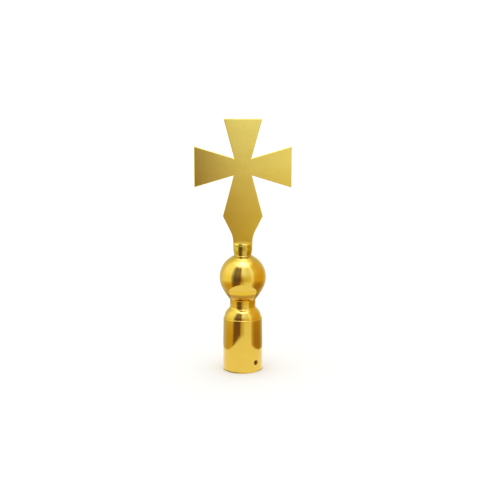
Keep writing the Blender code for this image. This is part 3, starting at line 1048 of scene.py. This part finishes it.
# What the brass mirrors, by azimuth: 0 is in front, -90 on the viewer's left.
TABLE_WHITE = (1.00, 1.00, 0.92)
BACK_WALL = (0.75, 0.70, 0.45)
UPPER_BACK = (0.80, 0.75, 0.40)
DIM_BACK = (0.65, 0.65, 0.35)
LEFT_PANEL = (1.05, 1.05, 0.50)
UPPER_LEFT_PANEL = (1.20, 1.30, 1.25)
FLAG = (0.15, 0.10, 0.15)
FLAG_FOOT = (0.15, 0.09, 0.06)
FLAG_TOP = (0.28, 0.22, 0.20)
FRONT_PANEL = (1.10, 1.25, 1.80)
AMBER_WALL = (0.75, 0.50, 0.05)
UPPER_AMBER_WALL = (0.80, 0.60, 0.20)
OVERHEAD = (3.60, 3.60, 7.00)
OVERHEAD_SIDE = (1.70, 1.90, 1.90)
OVERHEAD_BACK = (1.30, 1.30, 1.20)
NEAR_BACK = (0.60, 0.55, 0.35)
NEAR_LEFT = (0.65, 0.45, 0.08)
NEAR_FLAG = (0.20, 0.11, 0.06)
NEAR_TABLE = (0.95, 1.00, 0.95)
NEAR_AMBER = (0.42, 0.24, 0.04)

LOW_SCENE = (
    (-130, BACK_WALL),
    (-105, (1.00, 0.95, 0.50)),
    (-88, LEFT_PANEL),
    (-62, LEFT_PANEL),
    (-50, (0.35, 0.35, 0.30)),
    (-41, FLAG),
    (-24, FLAG),
    (-14, FLAG_FOOT),
    (-9, (0.25, 0.15, 0.06)),
    (-4, (0.50, 0.35, 0.10)),
    (10, (0.75, 0.65, 0.25)),
    (30, (0.80, 0.75, 0.35)),
    (50, (1.05, 1.00, 0.85)),
    (62, (0.75, 0.55, 0.15)),
    (85, AMBER_WALL),
    (115, AMBER_WALL),
    (150, BACK_WALL),
)
HIGH_SCENE = (
    (-180, UPPER_BACK),
    (-150, DIM_BACK),
    (-130, (0.80, 0.75, 0.30)),
    (-105, (1.10, 1.20, 0.95)),
    (-90, UPPER_LEFT_PANEL),
    (-60, UPPER_LEFT_PANEL),
    (-48, (0.50, 0.55, 0.60)),
    (-36, (0.22, 0.20, 0.28)),
    (-24, (0.34, 0.32, 0.34)),
    (-14, FLAG_TOP),
    (-9, (0.45, 0.38, 0.25)),
    (-3, FRONT_PANEL),
    (10, FRONT_PANEL),
    (30, (0.95, 1.05, 1.20)),
    (50, (1.20, 1.30, 1.50)),
    (66, (0.85, 0.75, 0.35)),
    (90, UPPER_AMBER_WALL),
    (115, UPPER_AMBER_WALL),
    (150, DIM_BACK),
    (180, UPPER_BACK),
)
SOFTBOX = (
    (-125, OVERHEAD_BACK),
    (-80, OVERHEAD_SIDE),
    (-30, OVERHEAD),
    (30, OVERHEAD),
    (80, OVERHEAD_SIDE),
    (125, OVERHEAD_BACK),
)
NEAR_GROUND = (
    (-180, NEAR_BACK),
    (-120, NEAR_BACK),
    (-90, NEAR_LEFT),
    (-62, NEAR_LEFT),
    (-48, NEAR_FLAG),
    (-18, NEAR_FLAG),
    (-6, (0.70, 0.60, 0.30)),
    (4, (0.80, 0.70, 0.40)),
    (14, NEAR_TABLE),
    (42, NEAR_TABLE),
    (56, (0.60, 0.45, 0.20)),
    (68, NEAR_AMBER),
    (100, NEAR_AMBER),
    (150, NEAR_BACK),
)


def make_studio():
    wall = Glow("tent_wall")
    elevation = wall.elevation(TENT_CENTRE)
    low_scene, high_scene = wall.around(*LOW_SCENE), wall.around(*HIGH_SCENE)
    scene = wall.blend(elevation, *map(math.radians, LOW_TO_HIGH), low_scene, high_scene)
    softbox = wall.around(*SOFTBOX)
    scene = wall.blend(elevation, *map(math.radians, HIGH_TO_SOFTBOX), scene, softbox)
    dome = [(TENT, GROUND)]
    for i in range(DOME_STEPS + 1):
        angle = math.radians(90 * i / DOME_STEPS)
        dome.append((TENT * math.cos(angle) + PINHOLE, TENT_CENTRE + TENT * math.sin(angle)))
    tent_piece("tent", dome, wall.emit(scene))

    ground = Glow("tent_ground")
    scene = ground.blend(
        ground.distance, *NEAR_TO_LOW, ground.around(*NEAR_GROUND), ground.around(*LOW_SCENE)
    )
    rings = [(distance, GROUND) for distance in (*INNER_GROUND, TENT)]
    tent_piece("tent_ground", rings, ground.emit(scene))

    table = tent_piece(
        "tent_table",
        [(PINHOLE, 2 * GROUND), (1.0, 2 * GROUND)],
        Glow("tent_table").emit(TABLE_WHITE),
    )
    table.scale = (TABLE_HALF_WIDTH, TABLE_HALF_DEPTH, 1.0)
    table.location.y = -TABLE_OFFSET


DAYLIGHT = 1.15


def make_world():
    world = bpy.data.worlds.new("studio")
    world.use_nodes = True
    background = world.node_tree.nodes["Background"]
    background.inputs["Color"].default_value = (1.0, 1.0, 1.0, 1.0)
    background.inputs["Strength"].default_value = DAYLIGHT
    bpy.context.scene.world = world


LENS = 50.45
EYE = (0.0070, -0.690, 0.226)
LOOK_DOWN = 8.627  # degrees
CAMERA_ROLL = -0.1


def make_camera():
    """The eye is 0.69 m in front of the staff's axis and a little above the side arms."""
    data = bpy.data.cameras.new("camera")
    data.lens = LENS
    data.sensor_width = 36.0
    camera = bpy.data.objects.new("camera", data)
    camera.location = EYE
    camera.rotation_euler = (math.radians(90 - LOOK_DOWN), math.radians(CAMERA_ROLL), 0.0)
    bpy.context.scene.collection.objects.link(camera)
    bpy.context.scene.camera = camera


make_cross()
make_collar()
make_ball()
make_neck_ring()
make_shoulder()
make_sleeve()
make_tie_rod()
make_washers()
make_nut()
make_set_screw()
make_floor()
make_studio()
make_world()
make_camera()
bpy.context.scene.view_settings.view_transform = "Standard"
